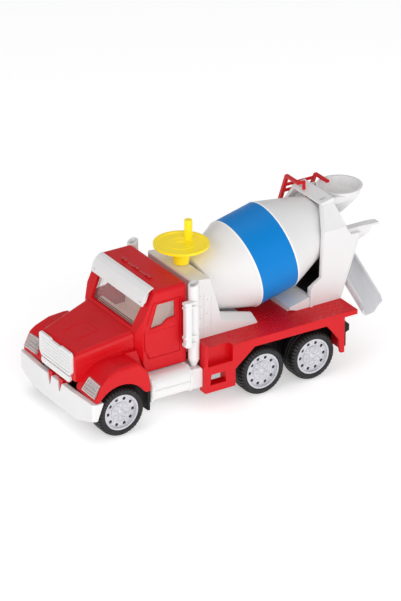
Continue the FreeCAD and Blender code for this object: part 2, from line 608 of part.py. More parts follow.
# ---------------------------------------------------------------- gear housing and front cradle
def drum_housing():
    """Hollow housing for the bevel gears, with a cradle on each side under the drum."""
    piece = Piece("drum_housing")
    half = dims.housing_half
    deck_z = dims.deck_top
    front = dims.housing_front + dims.housing_wall
    wall = dims.housing_wall
    outer = [(front, deck_z), (front, dims.housing_top), (-16.5, dims.housing_top - 1.1), (-12.5, 72.4),
             (-9.7, 61.7),
             (-7.4, 52.3), (-6.6, deck_z)]
    piece.prism("XZ", outer, -half, half)
    for side in SIDES.values():
        def section(x, edge, crest):
            return ("YZ", x, [(side * half, deck_z), (side * half, edge), (side * (half - 7.0), crest),
                              (side * (half - 9.0), crest), (side * (half - 9.0), deck_z)])
        piece.loft([section(-7.6, 52.0, 55.0), section(20.2, 43.9, 47.4)])
    piece.block((-9.0, 18.0), (-half + 8, half - 8), (deck_z, deck_z + 0.7))
    inner = [(front - 1, deck_z + wall), (front - 1, dims.housing_top - wall),
             (-18.3, dims.housing_top - wall - 1.0),
             (-14.3, 72.0), (-11.5, 61.4), (-9.2, 52.0), (-8.4, deck_z + wall)]
    piece.prism("XZ", inner, -half + wall, half - wall, cut=True)
    piece.rod("z", (dims.crank_x, 0.0), dims.shaft_radius + dims.fit_gap, 70.0, 90.0, cut=True)
    tilt = FreeCAD.Rotation(FreeCAD.Vector(0, 1, 0), 90 - dims.drum_tilt)
    sizes = {"Radius": dims.shaft_radius + dims.fit_gap, "Height": 20.0}
    piece.primitive("Cylinder", True, sizes, (dims.crank_x, 0.0, dims.apex_z), tilt)
    cover = Piece("housing_cover")
    cover.block((dims.housing_front, front), (-half, half), (deck_z, dims.housing_top))
    cover.round_edges(1.2,
                      lambda e: abs(middle(e).x - dims.housing_front) < 0.01 and middle(e).z > deck_z + 1)
    cover.block((front, front + 3), (-half + wall + 0.1, -half + wall + 2), (60.0, 66.0))
    cover.block((front, front + 3), (half - wall - 2, half - wall - 0.1), (60.0, 66.0))


# ---------------------------------------------------------------- drum, drawn along its own axis
def drum():
    band, back = dims.band_front, dims.band_rear
    radius, wall = dims.drum_radius, dims.drum_wall
    nose, nose_r = dims.drum_nose, dims.nose_radius
    tail, tail_r = dims.drum_tail, dims.tail_radius
    front = Piece("drum_front")
    front.lathe("XZ", [(nose, 0.0), (nose, nose_r - 2.0), (nose + 0.6, nose_r - 0.6),
                       (nose + 2.0, nose_r), (band - 3.2, radius - 1.1),
                       (band - 1.4, radius - 0.3), (band, radius), (band, radius - wall), (band - 3.0,
                                                                                           radius - wall - 1.0),
                       (nose + 3.0, nose_r - wall - 0.4), (nose + 3.0, 0.0)], "H")
    front.rod("x", (0.0, 0.0), dims.shaft_radius, nose - 1, nose + 4, cut=True)
    ring = Piece("drum_band")
    ring.lathe("XZ", [(band, radius - wall), (band, radius), (back, radius), (back, radius - wall)], "H")
    rear = Piece("drum_rear")
    rear.lathe("XZ", [(back, radius), (back + 1.6, radius - 0.2), (back + 3.4, radius - 0.8),
                      (tail, tail_r),
                      (tail, dims.collar_radius), (tail + dims.collar_length, dims.collar_radius),
                      (tail + dims.collar_length, dims.collar_radius - wall), (tail - 1.6,
                                                                               dims.collar_radius - wall),
                      (back + 3.4, radius - wall - 1.0), (back, radius - wall)], "H")
    shaft = Piece("drum_shaft")
    shaft.rod("x", (0.0, 0.0), dims.shaft_radius, 8.4, nose + 4.0)
    shaft.rod("x", (0.0, 0.0), 5.0, nose + 3.0, nose + 5.0)
    for piece in (front, ring, rear, shaft):
        piece.on_drum_axis()


# ---------------------------------------------------------------- bevel gears
def pitch_angles():
    """Pitch cone half angles of pinion and gear, from the shaft angle and the tooth counts."""
    shaft_angle = math.radians(90 - dims.drum_tilt)
    ratio = dims.gear_teeth / dims.pinion_teeth
    pinion = math.atan2(math.sin(shaft_angle), ratio + math.cos(shaft_angle))
    return pinion, shaft_angle - pinion


def bevel_gear(teeth, pitch_angle, bore, start_angle):
    """A straight bevel gear about +Z with the cone's apex at the origin; every tooth tapers to the apex."""
    outer = float(dims.gear_cone)
    inner = outer - float(dims.gear_face)
    module = 2 * outer * math.sin(pitch_angle) / teeth
    rise, depth, slack = 0.75 * module, 1.05 * module, 0.11 * module
    half_pitch = math.pi * module / 4 - slack
    slope = math.tan(math.radians(20))
    root = pitch_angle - math.atan2(depth, outer)

    def on_cone(reach):
        return FreeCAD.Vector(reach * math.sin(root), 0, reach * math.cos(root))

    rim_low, rim_high = on_cone(inner), on_cone(outer)
    back = FreeCAD.Vector(float(bore), 0, rim_high.z + 0.8)
    rim_back = FreeCAD.Vector(rim_high.x, 0, rim_high.z + 0.8)
    hub = FreeCAD.Vector(float(bore), 0, rim_low.z)
    blank = Part.Face(Part.makePolygon([hub, rim_low, rim_high, rim_back, back, hub]))
    solid = blank.revolve(FreeCAD.Vector(), FreeCAD.Vector(0, 0, 1), 360)
    across = FreeCAD.Vector(0, 1, 0)
    outward = FreeCAD.Vector(math.cos(pitch_angle), 0, -math.sin(pitch_angle))
    along = FreeCAD.Vector(math.sin(pitch_angle), 0, math.cos(pitch_angle))

    def section(reach):
        scale = reach / outer
        corners = []
        for height in (-depth - 0.25, rise):
            width = half_pitch - height * slope
            corners.append((width, height))
        points = [(-corners[0][0], corners[0][1]), (-corners[1][0], corners[1][1]), corners[1],
                  corners[0]]
        places = [along * reach + across * (u * scale) + outward * (v * scale) for u, v in points]
        return Part.makePolygon(places + places[:1])

    tooth = Part.makeLoft([section(inner), section(outer)], True, True)
    for k in range(teeth):
        copy = tooth.copy()
        copy.rotate(FreeCAD.Vector(), FreeCAD.Vector(0, 0, 1), start_angle + 360.0 * k / teeth)
        solid = solid.fuse(copy)
    return solid.removeSplitter()


def add_feature(node, shape, placement=None):
    feature = doc.addObject("Part::Feature", node)
    feature.Label = node
    feature.Shape = shape
    if placement:
        feature.Placement = placement
    NODES.append(feature)


def gears():
    pinion_angle, gear_angle = pitch_angles()
    teeth = int(dims.pinion_teeth), int(dims.gear_teeth)
    apex = FreeCAD.Vector(dims.crank_x, 0, dims.apex_z)
    pinion = bevel_gear(teeth[0], pinion_angle, dims.shaft_radius - 1.0, 180.0 / teeth[0])
    low = float(dims.apex_z) + 6.0
    shaft = Part.makeCylinder(dims.shaft_radius, float(dims.boss_low) - low - 3.6,
                              FreeCAD.Vector(0, 0, 9.6))
    core = Part.makeCylinder(dims.shaft_radius - 0.9, 4.6, FreeCAD.Vector(0, 0, 5.4))
    add_feature("crank_pinion", pinion.fuse(shaft).fuse(core),
                FreeCAD.Placement(apex, FreeCAD.Rotation()))
    gear = bevel_gear(teeth[1], gear_angle, dims.shaft_radius - 1.0, 0.0)
    plug = Part.makeCylinder(dims.shaft_radius - 0.9, 8.4 - 4.2, FreeCAD.Vector(0, 0, 4.2))
    facing = FreeCAD.Rotation(FreeCAD.Vector(0, 1, 0), 90 - dims.drum_tilt)
    flip = FreeCAD.Rotation(FreeCAD.Vector(0, 0, 1), 180)
    add_feature("drum_gear", gear.fuse(plug), FreeCAD.Placement(apex, facing.multiply(flip)))


def crank():
    """Yellow hand wheel: raised rim, ring relief, hollow cone boss and an upright peg."""
    piece = Piece("crank")
    low, thick, radius = dims.crank_bottom, dims.crank_thick, dims.crank_radius
    top = low + thick
    piece.lathe("XZ", [(0.0, dims.boss_low), (dims.boss_low_radius, dims.boss_low),
                       (dims.boss_high_radius, low - 1.0),
                       (dims.boss_high_radius + 2.6, low), (radius - 1.2, low), (radius,
                                                                                 low + 0.8), (radius,
                                                                                              top + 0.6),
                       (radius - 1.8, top + 0.6), (radius - 3.0, top), (9.6, top), (9.2,
                                                                                    top + 0.3), (8.2,
                                                                                                 top + 0.3),
                       (7.8, top), (3.4, top), (3.0, top - 0.4), (0.0, top - 0.4)], "V")
    piece.rod("z", (dims.peg_x, dims.peg_y), dims.peg_radius, low + 0.5, top + dims.peg_height)
    piece.round_edges(0.6, lambda e: e.Closed and middle(e).z > top + 10)
    piece.body.Placement = FreeCAD.Placement(FreeCAD.Vector(dims.crank_x, 0, 0), FreeCAD.Rotation())


# ---------------------------------------------------------------- rear frame
def yoke():
    """Two side plates that lean together above a crease, joined by a bridge, on a foot."""
    half, wall, top_half = dims.yoke_half, dims.yoke_wall, dims.yoke_top_half
    deck_z, crease, head = dims.deck_top, dims.crease_z, dims.bridge_z
    side_outline = [(62.2, deck_z), (62.1, 56.1), (71.1, 61.6), (72.0, crease), (90.7, crease),
                    (91.7, 91.8),
                    (94.6, 87.7), (102.3, 87.4), (87.0, deck_z)]
    for label, side in SIDES.items():
        plate = Piece(f"yoke_{label}")
        plate.prism("XZ", side_outline, *span(side, half - wall, half))
        lower = rectangle((72.0, 90.7), span(side, half - wall, half))
        upper = rectangle((76.1, 86.3), span(side, top_half - wall, top_half))
        plate.loft([("XY", crease - 0.05, lower), ("XY", head, upper)])
        rib = [(62.2, deck_z), (62.2, 56.1), (64.0, 57.2), (64.0, deck_z)]
        plate.prism("XZ", rib, *span(side, half - 0.5, half + 1.0))
    bridge = Piece("yoke_bridge")
    top = [(76.1, head + 0.05), (86.3, head + 0.05), (86.3, head + 3.6), (76.1, head + 1.6)]
    bridge.prism("XZ", top, -top_half, top_half)
    for side in SIDES.values():
        slot = rectangle((78.6, 82.8), span(side, top_half - 6.6, top_half - 3.6))
        bridge.prism("XY", slot, head - 1.0, head + 5.0, cut=True)
    foot = Piece("yoke_foot")
    ramp = [(46.3, deck_z), (46.3, 46.4), (62.0, 50.0), (86.0, 50.0), (86.0, deck_z)]
    foot.prism("XZ", ramp, -half + wall + 0.1, half - wall - 0.1)
    hollow = (-half + wall + 2.5, half - wall - 2.5)
    foot.block((50.0, 84.0), hollow, (deck_z - 1, 44.4), cut=True)
    for side in SIDES.values():
        wedge = [(52.0, deck_z), (46.3, 44.6), (46.3, 46.4), (62.0, 50.0), (62.0, deck_z)]
        foot.prism("XZ", wedge, *span(side, half - wall - 1, half))


def rear_panel():
    """Dark shield on the foot that closes the space under the drum's tail."""
    piece = Piece("rear_panel")
    reach = dims.yoke_half - dims.yoke_wall - 0.1
    piece.block((64.0, 86.0), (-reach, reach), (50.0, 51.2))
    piece.block((84.2, 86.0), (-reach, reach), (51.0, 66.0))


def drum_ring():
    """Bearing ring between the yoke's sides that carries the drum's rear collar."""
    piece = Piece("drum_ring")
    tail = dims.drum_tail
    reach = dims.yoke_half - dims.yoke_wall - 0.1
    piece.block((tail + 0.4, tail + 3.4), (-reach, reach), (-19.5, 14.0))
    piece.rod("x", (0.0, 0.0), dims.collar_radius + dims.fit_gap, tail - 1, tail + 5, cut=True)
    piece.block((tail, tail + 4), (-11.0, 11.0), (10.0, 16.0), cut=True)
    for side in SIDES.values():
        shoulder = [(side * 23.7, 3.8), (side * 17.8, 14.2), (side * 24.5, 14.2), (side * 24.5, 3.8)]
        piece.prism("YZ", shoulder, tail, tail + 4, cut=True)
    piece.on_drum_axis()


def ladder():
    """Ladder on the left of the yoke: two leaning rails, rungs, and an arm from each rail over the bridge."""
    piece = Piece("ladder")
    front_rail = [(38.0, dims.deck_top), (35.4, dims.deck_top), (27.1, 96.0), (19.3, 116.4), (5.4, 116.4),
                  (5.4, 118.2), (20.9, 118.2), (29.5, 96.5)]
    rear_rail = [(33.1, 74.0), (30.6, 74.0), (27.1, 96.0), (19.7, 112.4), (5.4, 112.4), (5.4, 114.0),
                 (20.7, 114.0),
                 (29.5, 96.5)]
    front_xs, rear_xs = (72.6, 75.0), (95.6, 98.0)
    piece.prism("YZ", front_rail, *front_xs)
    piece.prism("YZ", rear_rail, *rear_xs)
    for y, z in ((31.5, 76.0), (30.2, 84.0), (29.0, 92.0), (25.2, 103.6), (22.2, 109.2)):
        piece.block((front_xs[0] + 1, rear_xs[1] - 1), (y - 0.8, y + 0.8), (z, z + 1.6))
    for xs, z in ((front_xs, 86.0), (rear_xs, 79.0)):
        piece.block((xs[0] + 0.4, xs[1] - 0.4), (dims.yoke_half + 0.05, 30.4), (z, z + 1.6))
    piece.block((front_xs[1] - 0.5, 79.0), (5.4, 7.2), (116.5, 118.0))
    piece.block((77.4, 79.0), (5.4, 7.2), (dims.bridge_z + 2.3, 117.0))


# ---------------------------------------------------------------- hopper, collector and chute
def round_section(x, y, z, radius, count=20):
    return [(x + radius * math.cos(2 * math.pi * k / count),
             y + radius * math.sin(2 * math.pi * k / count)) for k in range(count)]


def hopper():
    """Open funnel above the drum's mouth, held to the bridge by a bracket."""
    piece = Piece("hopper")
    skin = dims.skin
    x, z, radius = dims.hopper_x, dims.hopper_z, dims.hopper_radius
    throat_x, throat_z, throat_r = 97.0, 95.5, 7.6

    def ring(cx, cz, r):
        return ("XY", cz, round_section(float(cx), 0.0, float(cz), float(r)))

    piece.loft([ring(throat_x, throat_z, throat_r), ring(x - 1, z - 6, radius - 1.4)])
    piece.loft([ring(x - 1, z - 6, radius - 1.4), ring(x, z, radius)])
    piece.block((81.9, 94.0), (-13.0, 13.0), (106.0, 108.0))
    piece.block((81.9, 85.0), (-13.0, 13.0), (107.5, dims.bridge_z))
    for side in SIDES.values():
        arm = [(81.9, 106.0), (81.9, dims.bridge_z), (86.5, dims.bridge_z), (90.0, 111.0), (98.0, 109.6),
               (98.0, 106.0)]
        piece.prism("XZ", arm, *span(side, 12.4, 14.4))
    piece.loft([ring(x - 1, z - 6, radius - 1.4 - skin), ring(x, z + 0.1, radius - skin)], cut=True)
    piece.loft([ring(throat_x, throat_z - 0.1, throat_r - skin),
                ring(x - 1, z - 6, radius - 1.4 - skin)], cut=True)


def collector():
    """Catch trough behind the drum's mouth: a U section that is open at the rear, with flared lips."""
    piece = Piece("collector")
    half = dims.yoke_half
    tip = dims.half_length
    rim_z = 90.4

    reach = half - dims.yoke_wall - 0.1
    outer = [(-reach, rim_z), (-reach, 84.0), (-15.0, 76.6), (15.0, 76.6), (reach, 84.0), (reach, rim_z)]
    piece.prism("YZ", outer, 92.4, tip - 6.0)
    front_cut = [(90.0, 94.0), (92.4, 93.3), (99.6, 74.0), (90.0, 70.0)]
    piece.prism("XZ", front_cut, -half, half, cut=True)
    back_cut = [(tip - 5.0, 96.0), (tip - 5.0, 92.0), (tip - 8.6, 76.0), (tip - 8.6, 70.0),
                (tip + 2.0, 70.0), (tip + 2.0, 96.0)]
    piece.prism("XZ", back_cut, -half, half, cut=True)
    for side in SIDES.values():
        lip = [(tip - 9.0, side * (half - 9.0)), (tip, side * (half - 7.0)), (tip, side * (half - 1.6)),
               (tip - 9.0, side * (half - 2.0))]
        piece.prism("XY", lip, rim_z - 1.8, rim_z)
    width, depth, steps = 17.8, 11.4, 12
    arc = [(width * math.cos(math.pi * k / steps), rim_z - depth * math.sin(math.pi * k / steps))
           for k in range(steps + 1)]
    piece.prism("YZ", arc + [(-width, 96.0), (width, 96.0)], 88.0, tip - 3.0, cut=True)


# Tilt pin: x and z in the swivel bracket's frame, and the distance along the chute.
PIVOT = (3.5, 6.6)
PIVOT_ALONG = 6.5


def swivel_placement():
    """Rest placement of the swivel bracket, swung to the right."""
    base = FreeCAD.Vector(dims.swivel_x, 0, dims.swivel_z)
    swing = FreeCAD.Rotation(FreeCAD.Vector(0, 0, 1), -dims.chute_swing)
    return FreeCAD.Placement(base, swing)


def chute():
    """Swivel bracket on a post, and the half-round chute that tilts in its fork."""
    bracket = Piece("chute_bracket")
    bracket.rod("z", (0.0, 0.0), 3.0, -6.4, 0.4)
    bracket.rod("z", (0.0, 0.0), 5.6, 0.35, 2.2)
    for side in SIDES.values():
        bracket.block((1.5, 5.5), span(side, 2.6, 4.2), (2.0, PIVOT[1]))
        bracket.rod("y", PIVOT, 2.0, *span(side, 2.6, 4.2))
    bracket.rod("y", PIVOT, 1.1, -4.2, 4.2)
    bracket.body.Placement = swivel_placement()
    trough = Piece("chute")
    radius, length, skin = dims.chute_radius, dims.chute_length, dims.skin
    steps = 14

    def half_round(reach, top):
        arc = [(reach * math.cos(math.pi * k / steps),
                -reach * math.sin(math.pi * k / steps)) for k in range(steps + 1)]
        return arc + [(-reach, top), (reach, top)]

    drop = radius + 2.0
    trough.prism("YZ", half_round(float(radius), 1.4), 0.0, length)
    trough.block((4.0, 9.2), (-2.4, 2.4), (-drop - 2.2, -radius + 1.0))
    trough.prism("YZ", half_round(float(radius) - float(skin), 5.0), skin, length + 1, cut=True)
    trough.rod("y", (PIVOT_ALONG, -drop), 1.1 + dims.fit_gap, -4.0, 4.0, cut=True)
    for side in SIDES.values():
        tip = [(length - 7.0, side * (radius + 1)), (length - 7.0, side * radius),
               (length - 2.8, side * (radius - 1.3)),
               (length - 0.6, side * (radius - 4.4)), (length + 1, side * (radius - 6.0)), (length + 1,
                                                                                            side * (radius + 1))]
        trough.prism("XY", tip, -radius - 1, 2.0, cut=True)
    slope = FreeCAD.Rotation(FreeCAD.Vector(0, 1, 0), dims.chute_slope)
    start = FreeCAD.Vector(PIVOT[0], 0, PIVOT[1]) - slope.multVec(FreeCAD.Vector(PIVOT_ALONG, 0,
                                                                                 -float(drop)))
    trough.body.Placement = swivel_placement().multiply(FreeCAD.Placement(start, slope))


def chute_post():
    """Arm behind the yoke's foot with the socket that the chute bracket turns in."""
    piece = Piece("chute_post")
    top = dims.swivel_z
    piece.block((86.05, dims.swivel_x), (-6.0, 6.0), (top - 5.6, top))
    piece.rod("z", (dims.swivel_x, 0.0), 6.0, top - 5.6, top)
    piece.rod("z", (dims.swivel_x, 0.0), 3.0 + dims.fit_gap, top - 10, top + 10, cut=True)


def base_screws():
    """Identical screws that hold the chassis to the deck and the cab."""
    screws = None
    for x in (-60.0, -10.0, 30.0, 68.0):
        for side in SIDES.values():
            head = Part.makeCylinder(1.8, 1.0,
                                     FreeCAD.Vector(x, side * 12.7, float(dims.frame_bottom) - 1.0))
            slot = Part.makeBox(3.0, 0.5, 0.4,
                                FreeCAD.Vector(x - 1.5, side * 12.7 - 0.25,
                                               float(dims.frame_bottom) - 1.0))
            screw = head.cut(slot)
            screws = screw if screws is None else Part.makeCompound([*screws.Solids, *screw.Solids])
    add_feature("base_screws", screws)


chassis_frame()
deck()
rear_bumper()
front_bumper()
tow_hooks()
cab_shell()
hood()
windshield()
grille()
sun_visor()
marker_lights()
cab_interior()
for label, side in SIDES.items():
    door(label, side)
    headlight(label, side)
    side_tank(label, side)
    exhaust(label, side)
drum_housing()
drum()
crank()
gears()
yoke()
rear_panel()
drum_ring()
ladder()
hopper()
collector()
chute()
chute_post()
base_screws()

doc.recompute()
failed = [f"{o.Name} {o.Label}" for o in doc.Objects if {"Invalid", "Error"} & set(o.State)]
if failed:
    raise RuntimeError(f"failed objects: {failed}")
for node in NODES:
    if node.Shape.isNull() or not node.Shape.isValid():
        raise RuntimeError(f"{node.Label} has no valid shape")
os.makedirs("parts", exist_ok=True)
for node in NODES:
    node.Shape.exportStep(f"parts/{node.Label}.step")
print(len(NODES), "pieces")
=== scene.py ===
import json
import math

import bmesh
import bpy
from mathutils import Matrix, Vector


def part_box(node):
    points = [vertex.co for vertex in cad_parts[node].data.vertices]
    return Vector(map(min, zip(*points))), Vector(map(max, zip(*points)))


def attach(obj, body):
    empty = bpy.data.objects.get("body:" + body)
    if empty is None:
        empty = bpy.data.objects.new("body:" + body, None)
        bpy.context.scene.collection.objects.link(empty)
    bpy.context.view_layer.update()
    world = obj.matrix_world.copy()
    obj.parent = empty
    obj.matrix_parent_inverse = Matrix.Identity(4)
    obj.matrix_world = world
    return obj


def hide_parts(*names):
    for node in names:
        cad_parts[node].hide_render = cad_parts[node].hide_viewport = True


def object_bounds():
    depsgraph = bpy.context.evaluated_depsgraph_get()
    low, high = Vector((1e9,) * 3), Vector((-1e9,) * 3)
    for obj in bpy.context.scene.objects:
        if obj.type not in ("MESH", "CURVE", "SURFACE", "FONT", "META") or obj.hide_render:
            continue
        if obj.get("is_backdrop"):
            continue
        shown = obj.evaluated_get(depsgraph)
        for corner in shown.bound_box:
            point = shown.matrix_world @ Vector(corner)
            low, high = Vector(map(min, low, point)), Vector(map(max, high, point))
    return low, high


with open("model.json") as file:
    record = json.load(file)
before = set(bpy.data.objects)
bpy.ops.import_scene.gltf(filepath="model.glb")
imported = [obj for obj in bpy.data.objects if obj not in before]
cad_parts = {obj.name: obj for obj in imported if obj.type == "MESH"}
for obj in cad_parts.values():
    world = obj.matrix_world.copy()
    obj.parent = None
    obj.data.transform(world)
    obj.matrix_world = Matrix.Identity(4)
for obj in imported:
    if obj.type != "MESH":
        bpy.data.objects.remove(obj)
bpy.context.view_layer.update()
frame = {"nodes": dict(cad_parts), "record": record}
NODES = frame["nodes"]
MM = 0.001
# The names follow the CAD's, where left is +Y. The truck faces -X, so +Y is its own right-hand side.
SIDES = {"left": 1, "right": -1}
AXLES = ("front", "mid", "rear")
PLASTIC_IOR = 1.49


# ---------------------------------------------------------------- materials
def linear(rgb):
    """sRGB values from 0 to 255 as a linear colour."""
    out = []
    for c in rgb:
        c /= 255
        out.append(c / 12.92 if c <= 0.04045 else ((c + 0.055) / 1.055) ** 2.4)
    return (*out, 1.0)


class Nodes:
    """Small helper that adds and links shader nodes."""

    def __init__(self, name):
        self.material = bpy.data.materials.new(name)
        self.material.use_nodes = True
        self.tree = self.material.node_tree
        self.shader = self.tree.nodes["Principled BSDF"]
        self.coords = self.add("ShaderNodeTexCoord").outputs["Object"]

    def add(self, kind, **values):
        node = self.tree.nodes.new(kind)
        for key, value in values.items():
            if hasattr(node, key):
                setattr(node, key, value)
            else:
                node.inputs[key].default_value = value
        return node

    def link(self, source, target):
        self.tree.links.new(source, target)

    def stretch(self, scale):
        node = self.add("ShaderNodeMapping")
        node.inputs["Scale"].default_value = scale
        self.link(self.coords, node.inputs["Vector"])
        return node.outputs["Vector"]

    def noise(self, scale, detail=3.0, vector=None):
        node = self.add("ShaderNodeTexNoise", Scale=scale, Detail=detail)
        self.link(vector or self.coords, node.inputs["Vector"])
        return node.outputs["Fac"]

    def ramp(self, source, low, high, start, end):
        node = self.add("ShaderNodeMapRange")
        for key, value in (("From Min", low), ("From Max", high), ("To Min", start), ("To Max", end)):
            node.inputs[key].default_value = value
        self.link(source, node.inputs["Value"])
        return node.outputs["Result"]

    def mix(self, factor, first, second):
        node = self.add("ShaderNodeMix", data_type="RGBA")
        self.link(factor, node.inputs["Factor"])
        for socket, value in ((node.inputs[6], first), (node.inputs[7], second)):
            if isinstance(value, tuple):
                socket.default_value = value
            else:
                self.link(value, socket)
        return node.outputs[2]

    def bump(self, height, strength, distance, normal=None):
        node = self.add("ShaderNodeBump", Strength=strength, Distance=distance)
        self.link(height, node.inputs["Height"])
        if normal:
            self.link(normal, node.inputs["Normal"])
        return node.outputs["Normal"]

    def soft_edges(self, radius):
        node = self.add("ShaderNodeBevel", samples=6, Radius=radius)
        return node.outputs["Normal"]

    def edge_mask(self, radius, low, high):
        """High where the surface turns sharply, at the moulded edges; the looks brighten these as a painted
        highlight.
        """
        turned = self.add("ShaderNodeBevel", samples=4, Radius=radius)
        flat = self.add("ShaderNodeNewGeometry")
        dot = self.add("ShaderNodeVectorMath", operation="DOT_PRODUCT")
        self.link(turned.outputs["Normal"], dot.inputs[0])
        self.link(flat.outputs["True Normal"], dot.inputs[1])
        return self.ramp(dot.outputs["Value"], low, high, 1.0, 0.0)


def shade(colour, factor):
    return (*(min(c * factor, 1.0) for c in colour[:3]), 1.0)


def plastic(name, rgb, roughness=0.32, peel=0.10, coat=0.0, edge_rub_and_highlight=1.12, spread=0.05, edge=0.0004, gloss=0.5,
            painted_glow=0.0):
    """Moulded plastic: slow colour drift, handling marks in the gloss, fine orange peel and soft edges.

    The edge factor brightens the sharp edges, a painted highlight along with some rubbing; spread is the
    colour drift, and edge is the radius edges are rounded to.
    """
    n = Nodes(name)
    colour = linear(rgb)
    drift = n.ramp(n.noise(26.0), 0.35, 0.65, 0.0, 1.0)
    body = n.mix(drift, shade(colour, 1 - spread), shade(colour, 1 + spread * 0.6))
    # Sharp edges turn lighter: a painted highlight, partly rubbing of the edges.
    edges_rubbed_and_highlit = n.mix(n.edge_mask(0.0007, 0.80, 0.99), body, shade(colour, edge_rub_and_highlight))
    n.link(edges_rubbed_and_highlit, n.shader.inputs["Base Color"])
    smears = n.noise(70.0, 4.0)
    scuffs = n.noise(1.0, 2.0, n.stretch((150.0, 150.0, 1900.0)))
    blend = n.add("ShaderNodeMath", operation="ADD")
    n.link(smears, blend.inputs[0])
    n.link(scuffs, blend.inputs[1])
    marks = n.ramp(blend.outputs[0], 0.7, 1.35, roughness - 0.07, roughness + 0.12)
    n.link(marks, n.shader.inputs["Roughness"])
    normal = n.bump(n.noise(620.0, 2.0), peel, 0.0002, n.soft_edges(edge))
    normal = n.bump(n.noise(3800.0, 1.0), peel * 0.8, 0.00006, normal)
    n.link(normal, n.shader.inputs["Normal"])
    n.shader.inputs["IOR"].default_value = PLASTIC_IOR
    n.shader.inputs["Specular IOR Level"].default_value = gloss
    n.shader.inputs["Coat Weight"].default_value = coat
    n.shader.inputs["Coat Roughness"].default_value = 0.12
    # The part gives off light in its own colour: painted light, though it is no lamp.
    n.shader.inputs["Emission Color"].default_value = colour
    n.shader.inputs["Emission Strength"].default_value = painted_glow
    return n.material


def rubber(name, rgb):
    """Matte rubber: dusty patches, paler edges painted as a highlight, and a fine grain."""
    n = Nodes(name)
    colour = linear(rgb)
    dust = n.ramp(n.noise(95.0, 6.0), 0.42, 0.72, 0.0, 1.0)
    body = n.mix(dust, colour, shade(colour, 1.9))
    # Paler sharp edges: a painted highlight.
    n.link(n.mix(n.edge_mask(0.0006, 0.75, 0.98), body, shade(colour, 2.6)), n.shader.inputs["Base Color"])
    n.link(n.ramp(n.noise(240.0, 4.0), 0.3, 0.7, 0.42, 0.66), n.shader.inputs["Roughness"])
    n.link(n.bump(n.noise(2600.0, 3.0), 0.22, 0.0002, n.soft_edges(0.0003)), n.shader.inputs["Normal"])
    return n.material


def metal(name, rgb, roughness, metallic=1.0):
    """Metal, or paint with a metallic look: slight tone drift, bright edges painted as a highlight, and a
    fine grain.
    """
    n = Nodes(name)
    colour = linear(rgb)
    tone = n.ramp(n.noise(130.0, 5.0), 0.35, 0.65, 0.0, 1.0)
    body = n.mix(tone, shade(colour, 0.9), shade(colour, 1.05))
    # Bright sharp edges: a painted highlight.
    n.link(n.mix(n.edge_mask(0.0005, 0.8, 0.99), body, shade(colour, 1.2)), n.shader.inputs["Base Color"])
    polish = n.ramp(n.noise(520.0, 5.0), 0.3, 0.7, roughness - 0.06, roughness + 0.1)
    n.link(polish, n.shader.inputs["Roughness"])
    n.link(n.bump(n.noise(3000.0, 3.0), 0.12, 0.0001, n.soft_edges(0.0003)), n.shader.inputs["Normal"])
    n.shader.inputs["Metallic"].default_value = metallic
    return n.material


def clear(name, rgb, alpha=0.24, roughness=0.04):
    """Thin clear plastic: mostly see-through, with a faint haze and a glossy face."""
    n = Nodes(name)
    haze = n.ramp(n.noise(160.0, 4.0), 0.4, 0.75, roughness, roughness + 0.09)
    n.link(haze, n.shader.inputs["Roughness"])
    colour = linear(rgb)
    n.link(n.mix(n.noise(60.0), colour, shade(colour, 0.93)), n.shader.inputs["Base Color"])
    n.link(n.bump(n.noise(420.0, 2.0), 0.03, 0.0002), n.shader.inputs["Normal"])
    n.shader.inputs["Alpha"].default_value = alpha
    n.shader.inputs["IOR"].default_value = PLASTIC_IOR
    return n.material


def lens(name, rgb):
    """Frosted lamp lens with fine moulded ribs on its inner face."""
    n = Nodes(name)
    colour = linear(rgb)
    ribs = n.add("ShaderNodeTexWave", Scale=160.0, Distortion=0.6, Detail=1.0, bands_direction="Z")
    n.link(n.coords, ribs.inputs["Vector"])
    # The colour darkens in the rib grooves: painted shade between the ribs.
    depth = n.ramp(ribs.outputs["Fac"], 0.1, 0.9, 0.0, 1.0)
    n.link(n.mix(depth, colour, shade(colour, 0.72)), n.shader.inputs["Base Color"])
    n.link(n.ramp(n.noise(300.0), 0.3, 0.7, 0.1, 0.22), n.shader.inputs["Roughness"])
    n.link(n.bump(ribs.outputs["Fac"], 0.35, 0.0003, n.soft_edges(0.0004)), n.shader.inputs["Normal"])
    n.shader.inputs["Transmission Weight"].default_value = 0.25
    n.shader.inputs["Coat Weight"].default_value = 0.6
    return n.material


RED = plastic("red_plastic_look", (212, 8, 22), 0.38, edge_rub_and_highlight=1.2, gloss=0.3)
WHITE = plastic("white_plastic_look", (234, 233, 233), 0.38, edge_rub_and_highlight=1.03, spread=0.02, gloss=0.4)
GREY_WHITE = plastic("grey_plastic_look", (216, 216, 219), 0.38, edge_rub_and_highlight=1.05, spread=0.03)
BLACK = plastic("black_plastic_look", (9, 8, 8), 0.45, edge_rub_and_highlight=1.8, spread=0.2, gloss=0.3)
# The beige interior gives off a little painted light, brightening it behind the glass.
BEIGE = plastic("beige_plastic_look", (230, 208, 194), 0.5, edge_rub_and_highlight=1.05, painted_glow=0.12)
BLUE = plastic("blue_plastic_look", (0, 128, 208), 0.38, edge_rub_and_highlight=1.0, spread=0.02, gloss=0.2)
